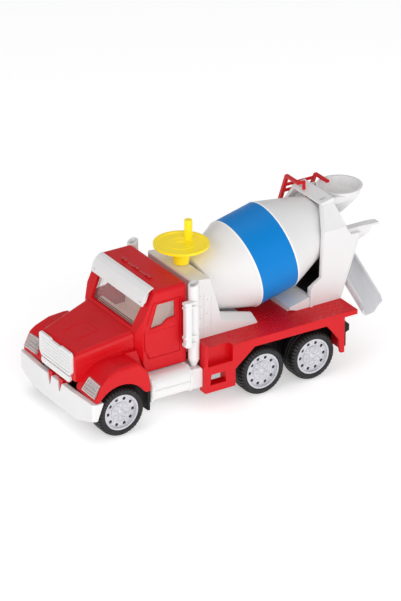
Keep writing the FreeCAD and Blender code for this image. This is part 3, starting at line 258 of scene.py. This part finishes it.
# The yellow parts give off a little painted light.
YELLOW = plastic("yellow_plastic_look", (255, 226, 26), 0.36, edge_rub_and_highlight=1.04, spread=0.04, painted_glow=0.13)
GEAR = plastic("gear_plastic_look", (225, 224, 218), 0.4, edge_rub_and_highlight=1.05)
LAMP_RED = plastic("lamp_plastic_look", (196, 16, 26), 0.16, peel=0.03, coat=0.5, edge_rub_and_highlight=1.4)
TYRE = rubber("tyre_rubber_look", (14, 13, 14))
STEEL = metal("steel_look", (178, 180, 184), 0.28)
SILVER = metal("silver_plastic_look", (208, 208, 214), 0.34, 0.55)
CLEAR = clear("clear_plastic_look", (244, 240, 238), 0.13)
LENS = lens("lens_look", (218, 208, 207))
BRIGHT_WHITE = plastic("bright_line_look", (255, 255, 255), 0.3, edge_rub_and_highlight=1.0, spread=0.01)
SEAL = plastic("seal_look", (120, 70, 66), 0.5, edge_rub_and_highlight=1.2, spread=0.1)
PALE_RIM = plastic("pale_rim_look", (232, 214, 212), 0.3, edge_rub_and_highlight=1.05, spread=0.03)

LOOKS = {
    "red_plastic": RED, "white_plastic": WHITE, "grey_plastic": GREY_WHITE, "black_plastic": BLACK,
    "clear_plastic": CLEAR, "steel": STEEL, "beige_plastic": BEIGE, "blue_plastic": BLUE,
    "yellow_plastic": YELLOW, "gear_plastic": GEAR, "tyre_rubber": TYRE, "silver_plastic": SILVER,
}
SLOTS = {p["node"]: p["material_slot"] for p in frame["record"]["subparts"]}
for node_name, node in NODES.items():
    node.data.materials.clear()
    node.data.materials.append(LOOKS[SLOTS[node_name]])
NODES["marker_lights"].data.materials[0] = LAMP_RED
for label in SIDES:
    NODES[f"headlight_{label}"].data.materials[0] = LENS


# ---------------------------------------------------------------- mesh tools
SUNK = -0.3  # how far studs and nuts reach into the surface below them, so that no gap shows


def circle(radius, count, shift=0.0):
    """Points evenly spaced on a circle about the origin; shift turns them by a share of one step."""
    angles = [2 * math.pi * (k + shift) / count for k in range(count)]
    return [(radius * math.cos(a), radius * math.sin(a)) for a in angles]


def facing(place, normal):
    """Matrix that puts local Z along the normal at a place."""
    return Matrix.Translation(place) @ Vector(normal).to_track_quat("Z", "Y").to_matrix().to_4x4()


def mm_box(node):
    """Lowest and highest corner of a CAD node at rest, in millimetres."""
    low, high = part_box(node)
    return low / MM, high / MM


class Builder:
    """Collects solids in one mesh, in millimetres, and turns them into a piece that rides on a body."""

    def __init__(self):
        self.mesh = bmesh.new()

    def add(self, points, faces):
        """A solid from its corners and faces."""
        corners = [self.mesh.verts.new(p) for p in points]
        for face in faces:
            self.mesh.faces.new([corners[i] for i in face])

    def box(self, centre, size, bevel):
        """A box with bevelled edges."""
        made = bmesh.ops.create_cube(self.mesh, size=1.0)["verts"]
        bmesh.ops.scale(self.mesh, vec=size, verts=made)
        bmesh.ops.translate(self.mesh, vec=centre, verts=made)
        edges = {e for v in made for e in v.link_edges}
        bmesh.ops.bevel(self.mesh, geom=list(edges), offset=bevel, segments=2, affect="EDGES", profile=0.6)

    def spin(self, outline, frame_matrix, sides):
        """A solid of revolution: outline runs as (radius, height) from the axis, round, and back to it."""
        rings = []
        for radius, height in outline:
            if radius == 0:
                rings.append([self.mesh.verts.new(frame_matrix @ Vector((0, 0, height)))])
                continue
            rings.append([self.mesh.verts.new(frame_matrix @ Vector((*point, height)))
                          for point in circle(radius, sides)])
        for first, second in zip(rings, rings[1:]):
            for k in range(sides):
                quad = [first[k % len(first)], first[(k + 1) % sides % len(first)],
                        second[(k + 1) % sides % len(second)], second[k % len(second)]]
                self.mesh.faces.new(list(dict.fromkeys(quad)))

    def stud(self, place, normal, radius, height, sides=12):
        """Low domed stud or rivet."""
        outline = [(0, height), (radius * 0.55, height * 0.9), (radius * 0.9, height * 0.5),
                   (radius, 0), (radius, SUNK), (0, SUNK)]
        self.spin(outline, facing(place, normal), sides)

    def nut(self, place, normal, radius, height, sides=6):
        """Six-sided nut with a chamfered top."""
        outline = [(0, height), (radius * 0.8, height), (radius, height * 0.7), (radius, SUNK), (0, SUNK)]
        self.spin(outline, facing(place, normal), sides)

    def tube(self, points, radius, sides=8, closed=False):
        """A round ridge along a line of points."""
        path = [Vector(p) for p in points]
        rings = []
        for i, here in enumerate(path):
            before = path[i - 1] if i or closed else here
            after = path[(i + 1) % len(path)] if i + 1 < len(path) or closed else here
            along = (after - before).normalized()
            upright = abs(along.z) > 0.9
            across = (along.orthogonal() if upright else along.cross(Vector((0, 0, 1)))).normalized()
            up = across.cross(along)
            rings.append([self.mesh.verts.new(here + radius * (across * c + up * s))
                          for c, s in circle(1.0, sides)])
        pairs = list(zip(rings, rings[1:])) + ([(rings[-1], rings[0])] if closed else [])
        for first, second in pairs:
            for k in range(sides):
                self.mesh.faces.new((first[k], first[(k + 1) % sides], second[(k + 1) % sides], second[k]))
        if not closed:
            self.mesh.faces.new(list(reversed(rings[0])))
            self.mesh.faces.new(rings[-1])

    def piece(self, name, material, body, slot, sharp=38):
        """Makes the object, riding on its body; edges sharper than this many degrees stay sharp."""
        bmesh.ops.recalc_face_normals(self.mesh, faces=self.mesh.faces)
        bmesh.ops.scale(self.mesh, vec=(MM, MM, MM), verts=self.mesh.verts)
        data = bpy.data.meshes.new(name)
        self.mesh.to_mesh(data)
        self.mesh.free()
        data.shade_smooth()
        data.set_sharp_from_angle(angle=math.radians(sharp))
        data.materials.append(material)
        made = bpy.data.objects.new(name, data)
        bpy.context.scene.collection.objects.link(made)
        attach(made, body)
        return made


# ---------------------------------------------------------------- wheels
TREAD_BLOCKS = 40
# Radius and distance across the tyre, from the outer bead over the tread to the inner bead.
TYRE_SECTION = [
    (12.42, 13.1), (12.9, 13.75), (14.2, 14.0), (15.2, 13.9), (15.9, 13.5), (16.5, 12.7),
    (16.9, 11.4), (17.0, 10.4), (17.0, 8.9), (16.4, 8.7), (16.4, 7.9), (17.0, 7.7),
    (17.0, 6.3), (16.4, 6.1), (16.4, 5.3), (17.0, 5.1), (17.0, 3.6), (16.9, 2.6),
    (16.5, 1.3), (15.9, 0.5), (15.2, 0.1), (14.2, 0.0), (12.9, 0.25), (12.42, 0.9),
]
SHOULDER = (4, 5, 6, 7, 16, 17, 18, 19)  # the section's points that dip between two tread blocks
GROOVE_DEPTH = 0.75
# Where the rings of one tread block stand, as a share of its pitch, and how deep each one dips.
BLOCK_RINGS = ((0.0, GROOVE_DEPTH), (0.2, GROOVE_DEPTH), (0.27, 0.0), (0.6, 0.0), (0.93, 0.0))


def tyre(axle, label, side):
    """Tyre with two grooves round the tread and a row of blocks on each shoulder."""
    node = f"tyre_{axle}_{label}"
    low, high = mm_box(node)
    middle = (low + high) / 2
    inner_y = low.y if side > 0 else high.y
    builder = Builder()
    rings = []
    pitch = 2 * math.pi / TREAD_BLOCKS
    for block in range(TREAD_BLOCKS):
        for share, depth in BLOCK_RINGS:
            angle = pitch * (block + share)
            ring = []
            for i, (radius, across) in enumerate(TYRE_SECTION):
                r = radius - (depth if i in SHOULDER else 0)
                ring.append(builder.mesh.verts.new((middle.x + r * math.cos(angle), inner_y + side * across,
                                                    middle.z + r * math.sin(angle))))
            rings.append(ring)
    count = len(TYRE_SECTION)
    for first, second in zip(rings, rings[1:] + rings[:1]):
        for i in range(count):
            builder.mesh.faces.new((first[i], first[(i + 1) % count], second[(i + 1) % count], second[i]))
    piece = builder.piece(f"tread_{axle}_{label}", TYRE, f"wheels_{axle}", "tyre_rubber", 30)
    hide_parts(node)


def hub(axle, label, side):
    """Ring of nuts round a centre cap, two beads on the hub disc, and dark plugs in the rim's holes that
    paint the shade inside them.
    """
    low, high = mm_box(f"tyre_{axle}_{label}")
    x, z = (low.x + high.x) / 2, (low.z + high.z) / 2
    outer = high.y if side > 0 else low.y
    disc_y, hole_y = outer - side * 1.6, outer - side * 3.4
    normal = (0, side, 0)
    builder = Builder()
    for dx, dz in circle(4.5, 8, 0.5):
        builder.nut((x + dx, disc_y, z + dz), normal, 0.75, 0.55)
    cap = [(0, 0.75), (1.3, 0.7), (2.0, 0.4), (2.3, 0.0), (2.3, SUNK), (0, SUNK)]
    builder.spin(cap, facing((x, disc_y, z), normal), 28)
    for radius in (3.1, 6.2):
        builder.tube([(x + dx, disc_y, z + dz) for dx, dz in circle(radius, 48)], 0.22, 6, closed=True)
    builder.piece(f"hub_{axle}_{label}", SILVER, f"wheels_{axle}", "silver_plastic")
    # Black plugs sunk in the rim's holes: painted shade where the holes look into the dark wheel.
    dark = Builder()
    for dx, dz in circle(9.2, 10):
        dark.stud((x + dx, hole_y, z + dz), normal, 1.13, 0.25, 16)
    dark.piece(f"rim_hole_shade_{axle}_{label}", BLACK, f"wheels_{axle}", "black_plastic")


for axle in AXLES:
    for label, side in SIDES.items():
        tyre(axle, label, side)
        hub(axle, label, side)


# ---------------------------------------------------------------- drum
DRUM_START = Vector((-21.3, 0.0, 64.2))
DRUM_TILT = math.radians(13.85)
DRUM_AXIS = Vector((math.cos(DRUM_TILT), 0.0, math.sin(DRUM_TILT)))


def drum_line(name, along):
    """Thin raised white line round the drum beside the coloured band, so far along its axis."""
    builder = Builder()
    place = facing(DRUM_START + DRUM_AXIS * along, DRUM_AXIS)
    section = [(30.6, -0.55), (31.32, -0.5), (31.4, -0.3), (31.4, 0.3),
               (31.32, 0.5), (30.6, 0.55), (30.6, -0.55)]
    builder.spin(section, place, 128)
    # The section ends where it starts, so its first and last ring are joined.
    bmesh.ops.remove_doubles(builder.mesh, verts=builder.mesh.verts, dist=0.0005)
    builder.piece(name, BRIGHT_WHITE, "drum", "white_plastic")


drum_line("drum_line_front", 42.9)
drum_line("drum_line_rear", 72.0)


# ---------------------------------------------------------------- deck and housing
def deck_tread():
    """Raised tread-plate bars on the open parts of the deck."""
    top = mm_box("yoke_left")[0].z
    builder = Builder()
    step, length, width, height = 2.6, 2.0, 0.7, 0.34
    first_x, first_y, count = -6.0, -44.0, 36
    sides = [(3, 2, 1, 0), (4, 5, 6, 7), (0, 1, 5, 4), (1, 2, 6, 5), (2, 3, 7, 6), (3, 0, 4, 7)]
    for row in range(count):
        for column in range(count):
            x = first_x + column * step
            y = first_y + row * step + (step / 2 if column % 2 else 0)
            clear_of_yoke = abs(y) > 28.6 or 21.5 < x < 44.5
            beside_ladder = y > 33.0 and 71.5 < x < 80.0
            if x > 85.0 or abs(y) > 44.4 or not clear_of_yoke or beside_ladder:
                continue
            turn = math.radians(45 if (row + column) % 2 else -45)
            along = Vector((math.cos(turn), math.sin(turn), 0))
            across = Vector((-along.y, along.x, 0))
            centre = Vector((x, y, top - 0.02))
            base = [centre + along * length / 2, centre + across * width / 2,
                    centre - along * length / 2, centre - across * width / 2]
            crown = [centre + (p - centre) * 0.5 + Vector((0, 0, height)) for p in base]
            builder.add(base + crown, sides)
    builder.piece("deck_tread", RED, "truck", "red_plastic", 80)


def housing_details():
    """Plain rivets and pressed ribs on both sides of the gear housing."""
    low, high = mm_box("drum_housing")
    builder = Builder()
    for side in SIDES.values():
        face = high.y if side > 0 else low.y
        for x in (-26.5, -21.0, -15.5):
            builder.tube([(x, face, 46.0), (x, face, 78.0 - (x + 26.5) * 0.6)], 0.28)
        front_row = [(-23.8, z) for z in (74.0, 66.0, 58.0, 50.0)]
        rear_row = [(-18.3, z) for z in (70.0, 60.0, 50.0)]
        for x, z in front_row + rear_row:
            builder.stud((x, face, z), (0, side, 0), 0.75, 0.5)
    builder.piece("housing_rivets", WHITE, "truck", "white_plastic")


def shade_sheets():
    """Black sheets between the chassis and the twin rear wheels, stiffened by three ribs: painted shade for
    the dark gap between the wheels.
    """
    for label, side in SIDES.items():
        builder = Builder()
        builder.box((36.4, side * 28.4, 25.2), (80.6, 1.6, 28.0), 0.5)
        builder.box((75.6, side * 32.0, 28.0), (1.6, 7.6, 22.0), 0.4)
        for x in (-1.5, 32.8, 67.5):
            builder.box((x, side * 29.6, 27.0), (2.0, 1.6, 22.0), 0.4)
        builder.piece(f"shade_sheet_{label}", BLACK, "truck", "black_plastic")


deck_tread()
housing_details()
# Black sheets that paint the shade between the wheels.
shade_sheets()


# ---------------------------------------------------------------- hood, cab and front
def hood_top(x):
    """Height of the bonnet's top at x."""
    return 54.2 + (x + 112.8) * 0.2364


def hood_side(x):
    """Half the bonnet's width at x."""
    return 22.5 + (x + 115.4) * 0.1904


def hood_details():
    """Raised panel outline on the bonnet, two swage lines and a louvre on each side."""
    builder = Builder()
    half = [(-107.0, -7.8), (-91.5, -8.6), (-90.0, -7.6), (-89.6, -6.0)]
    outline = half + [(x, -y) for x, y in reversed(half)]
    builder.tube([(x, y, hood_top(x) + 0.02) for x, y in outline], 0.3)
    for side in SIDES.values():
        for drop in (0.0, 3.4):
            line = [(x, side * hood_side(x), 50.6 - drop + (x + 108.0) * 0.21)
                    for x in (-108.0, -100.0, -92.0, -84.0, -77.4)]
            builder.tube(line, 0.28)
        for k in range(6):
            x = -92.5 + 2.2 * k
            z = 50.2 + 0.1 * k
            builder.tube([(x, side * hood_side(x), z), (x + 1.3, side * hood_side(x + 1.3), z + 1.7)], 0.3)
    builder.piece("hood_lines", RED, "truck", "red_plastic")


def windshield_seal():
    """Dark double seal round the windshield opening."""
    builder = Builder()
    low, high = mm_box("windshield")
    slope = (high.x - 1.3 - low.x) / (high.z - low.z)

    def on_pane(y, z, out):
        return (low.x + (z - low.z) * slope - out, y, z)

    for grow, out in ((0.0, 0.35), (-0.9, 0.15)):
        corners = [(-25.0 - grow, 64.9 - grow), (25.0 + grow, 64.9 - grow),
                   (27.0 + grow, 83.8 + grow), (-27.0 - grow, 83.8 + grow)]
        builder.tube([on_pane(y, z, out) for y, z in corners], 0.3, closed=True)
    builder.piece("windshield_seal", SEAL, "truck", "black_plastic")


def lamp_bezels():
    """Pale rim round each headlight and a smaller reflector frame inside it."""
    builder = Builder()
    for side in SIDES.values():
        def on_face(y, z):
            return (-115.0 + (z - 32.0) * 5.6 / 9.2 - 0.15, side * y, z)

        for inset in (0.5, 2.6):
            rim = [on_face(28.9 + inset, 32.3 + inset * 0.55), on_face(44.3 - inset, 32.1 + inset * 0.55),
                   on_face(44.3 - inset, 39.9 - inset * 0.55), on_face(30.6 + inset, 40.4 - inset * 0.55)]
            builder.tube(rim, 0.36 if inset < 1 else 0.24, closed=True)
    builder.piece("lamp_bezels", PALE_RIM, "truck", "white_plastic")


def grille_bars():
    """Plain horizontal bars on the grille plate."""
    low = mm_box("grille")[0]
    builder = Builder()
    for k in range(5):
        z = 41.6 + 2.2 * k
        builder.tube([(low.x + 0.5, -16.8, z), (low.x + 0.5, 16.8, z)], 0.3)
    builder.piece("grille_ribs", WHITE, "truck", "white_plastic")


def door_crease(label, side):
    """Pressed line across the door below the window, and the frame line round the window."""
    low, high = mm_box(f"door_{label}")
    face = high.y if side > 0 else low.y
    builder = Builder()
    builder.tube([(-69.4, face, 61.9), (-45.2, face, 61.9)], 0.24)
    frame_line = [(-67.3, 63.9), (-57.1, 64.9), (-53.5, 67.9), (-47.2, 68.7), (-47.2, 81.3), (-61.5, 81.3)]
    builder.tube([(x, face, z) for x, z in frame_line], 0.2, closed=True)
    builder.piece(f"door_lines_{label}", RED, f"door_{label}", "red_plastic")


hood_details()
windshield_seal()
lamp_bezels()
grille_bars()
for label, side in SIDES.items():
    door_crease(label, side)


# ---------------------------------------------------------------- rear frame
def yoke_flanges():
    """Raised edges along both side plates, a knob at each foot and screws on the bridge."""
    high = mm_box("yoke_bridge")[1]
    builder = Builder()
    for side in SIDES.values():
        face, top = side * 26.2, side * 17.6
        builder.tube([(72.0, face, 62.6), (72.8, face, 94.4), (76.9, top, 109.3)], 0.4)
        builder.tube([(86.4, face, 44.6), (101.3, face, 86.6)], 0.4)
        builder.tube([(90.0, face, 94.6), (85.7, top, 109.3)], 0.35)
        builder.stud((63.1, side * 27.2, 55.4), (0, side, 0), 1.1, 0.7, 20)
        builder.stud((84.4, side * 9.0, high.z - 0.6), (-0.2, 0, 0.98), 0.9, 0.5, 20)
    builder.piece("yoke_flanges", WHITE, "truck", "white_plastic")


yoke_flanges()


# ---------------------------------------------------------------- stage, light and camera
def stage_floor(z):
    """Wide pale floor under the wheels, slightly lit of its own so that it stays even."""
    mesh = bpy.data.meshes.new("floor")
    far = 6.0
    mesh.from_pydata([(-far, -far, z), (far, -far, z), (far, far, z), (-far, far, z)], [], [(0, 1, 2, 3)])
    floor = bpy.data.objects.new("floor", mesh)
    bpy.context.scene.collection.objects.link(floor)
    n = Nodes("floor_look")
    tone = n.mix(n.noise(3.0), linear((246, 246, 247)), linear((250, 250, 250)))
    n.link(tone, n.shader.inputs["Base Color"])
    n.shader.inputs["Roughness"].default_value = 0.85
    n.shader.inputs["Emission Color"].default_value = (1.0, 1.0, 1.0, 1.0)
    n.shader.inputs["Emission Strength"].default_value = 0.42
    mesh.materials.append(n.material)
    floor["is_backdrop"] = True


def area_light(name, place, target, size, watts):
    """Square soft light aimed at the target."""
    data = bpy.data.lights.new(name, "AREA")
    data.shape = "SQUARE"
    data.size = size
    data.energy = watts
    light = bpy.data.objects.new(name, data)
    bpy.context.scene.collection.objects.link(light)
    light.location = place
    light.rotation_euler = (Vector(target) - Vector(place)).to_track_quat("-Z", "Y").to_euler()


def camera():
    """Long lens on the -Y side, in front of and above the truck."""
    azimuth, elevation, distance = math.radians(-32.26), math.radians(26.32), 2.505
    target = Vector((-6.5, 0.0, 54.74)) * MM
    level = math.cos(elevation)
    back = Vector((math.sin(azimuth) * level, -math.cos(azimuth) * level, math.sin(elevation)))
    data = bpy.data.cameras.new("camera")
    data.sensor_fit = "VERTICAL"
    data.sensor_height = 36.0
    data.lens = 228.8
    view = bpy.data.objects.new("camera", data)
    bpy.context.scene.collection.objects.link(view)
    view.location = target + back * distance
    view.rotation_euler = (-back).to_track_quat("-Z", "Y").to_euler()
    bpy.context.scene.camera = view


stage_floor(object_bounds()[0][2])
centre = Vector((0.0, 0.0, 0.05))
area_light("key", (-0.35, -1.25, 0.55), centre, 0.8, 6.6)
area_light("front", (-1.2, -0.35, 0.5), centre, 0.7, 3.4)
area_light("fill", (0.95, -0.8, 0.45), centre, 0.9, 1.4)
area_light("top", (0.1, 0.25, 1.25), centre, 0.9, 2.0)
world = bpy.data.worlds.new("studio")
bpy.context.scene.world = world
world.use_nodes = True
background = world.node_tree.nodes["Background"]
background.inputs["Color"].default_value = (1.0, 1.0, 1.0, 1.0)
background.inputs["Strength"].default_value = 0.42
bpy.context.scene.view_settings.view_transform = "Standard"
camera()
